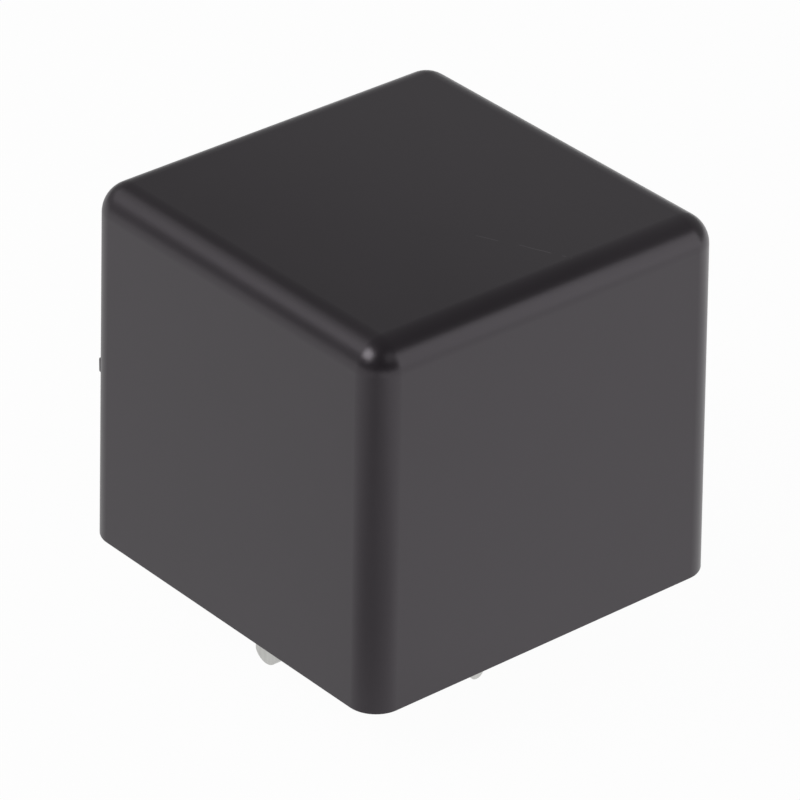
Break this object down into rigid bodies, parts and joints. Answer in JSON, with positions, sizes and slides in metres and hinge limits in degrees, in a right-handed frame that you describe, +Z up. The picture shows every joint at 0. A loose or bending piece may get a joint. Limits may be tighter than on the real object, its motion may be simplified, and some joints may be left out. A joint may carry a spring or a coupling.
{
  "type": "pcb power relay",
  "caption": "Cube-shaped circuit board power relay: drafted black cover with rounded edges, flat solder blades below, and a coil-driven hinged armature that switches a change-over contact.",
  "frame": {"origin": "middle of the footprint on the seating plane, which is the base's underside and the cover's rim", "axes": "+Z up away from the board, Y along the row of load blades with the hinge at -Y, X across it"},
  "size_m": [0.0286, 0.0278, 0.0292],
  "materials": {
    "cover_plastic": "moulded black, satin, with fine grain",
    "base_plastic": "moulded black, matt",
    "bobbin_nylon": "natural moulded nylon, satin",
    "enamelled_copper": "enamelled wire, glossy",
    "soft_iron": "turned and plated, satin",
    "plated_steel": "stamped and nickel plated, satin",
    "spring_bronze": "rolled strip, bright",
    "rivet_steel": "headed, plated",
    "contact_silver": "silver alloy, slightly matt",
    "tinned_copper": "stamped and tinned, satin"
  },
  "bodies": {
    "housing": {"cover": "cover_plastic", "base": "base_plastic", "bobbin": "bobbin_nylon", "coil_winding": "enamelled_copper", "coil_lead_a": "enamelled_copper", "coil_lead_b": "enamelled_copper", "core": "soft_iron", "yoke": "plated_steel", "yoke_rivets": "rivet_steel", "normally_open_contact": "contact_silver", "normally_closed_contact": "contact_silver", "normally_open_terminal": "tinned_copper", "normally_closed_terminal": "tinned_copper", "common_terminal": "tinned_copper", "coil_terminal_a": "tinned_copper", "coil_terminal_b": "tinned_copper"},
    "armature_assembly": {"armature": "plated_steel", "contact_spring": "spring_bronze", "armature_rivets": "rivet_steel", "moving_contact": "contact_silver"}
  },
  "joints": [
    {"name": "armature_pivot", "type": "hinge", "parent": "housing", "child": "armature_assembly", "pos_m": [0, -0.00914, 0.01647], "axis": [-1, 0, 0], "range_deg": [0, 3.2], "stiffness_Nm_per_rad": 0.02, "springref_deg": -8.59, "deforming": ["contact_spring"]}
  ]
}
